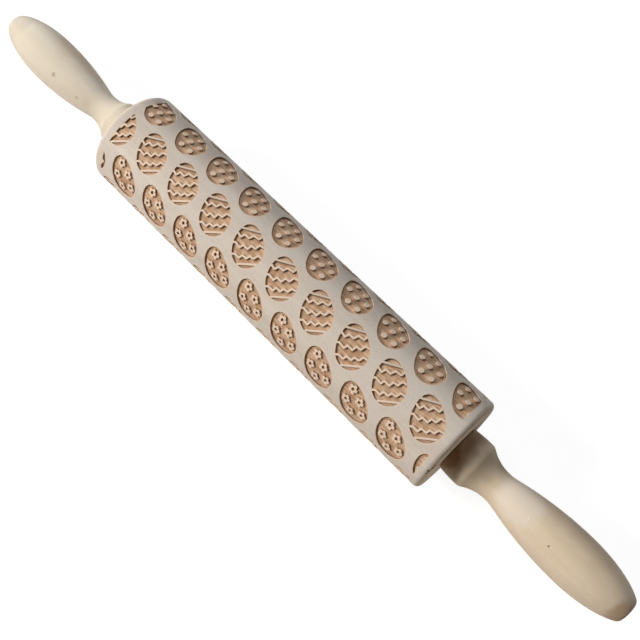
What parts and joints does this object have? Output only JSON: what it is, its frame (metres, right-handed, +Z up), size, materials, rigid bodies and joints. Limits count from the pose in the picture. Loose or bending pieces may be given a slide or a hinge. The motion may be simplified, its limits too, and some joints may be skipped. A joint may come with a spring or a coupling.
{
  "type": "rolling pin",
  "caption": "Wooden rolling pin whose barrel, engraved all round with egg motifs that emboss dough, turns freely on a steel axle between turned handles.",
  "frame": {"origin": "on the table directly under the middle of the barrel", "axes": "+X along the pin towards the right handle, which is the lower right one in the picture; +Z up; the pin's axis is level, half a barrel diameter above the table"},
  "size_m": [0.4106, 0.05, 0.05],
  "materials": {
    "barrel_wood": "sanded, greyish beige, engraved floors toasted brown",
    "handle_wood": "sanded smooth, cream",
    "rod_steel": "drawn bright bar",
    "washer_steel": "bright",
    "bush_nylon": "natural nylon",
    "insert_brass": "turned"
  },
  "bodies": {
    "handle_set": {"axle_rod": "rod_steel", "left_washer": "washer_steel", "right_washer": "washer_steel", "left_insert": "insert_brass", "right_insert": "insert_brass", "left_handle": "handle_wood", "right_handle": "handle_wood"},
    "roller": {"roller_barrel": "barrel_wood", "left_bush": "bush_nylon", "right_bush": "bush_nylon"}
  },
  "joints": [
    {"name": "barrel_spin", "type": "hinge", "parent": "handle_set", "child": "roller", "pos_m": [0, 0, 0.025], "axis": [1, 0, 0], "continuous": true}
  ]
}
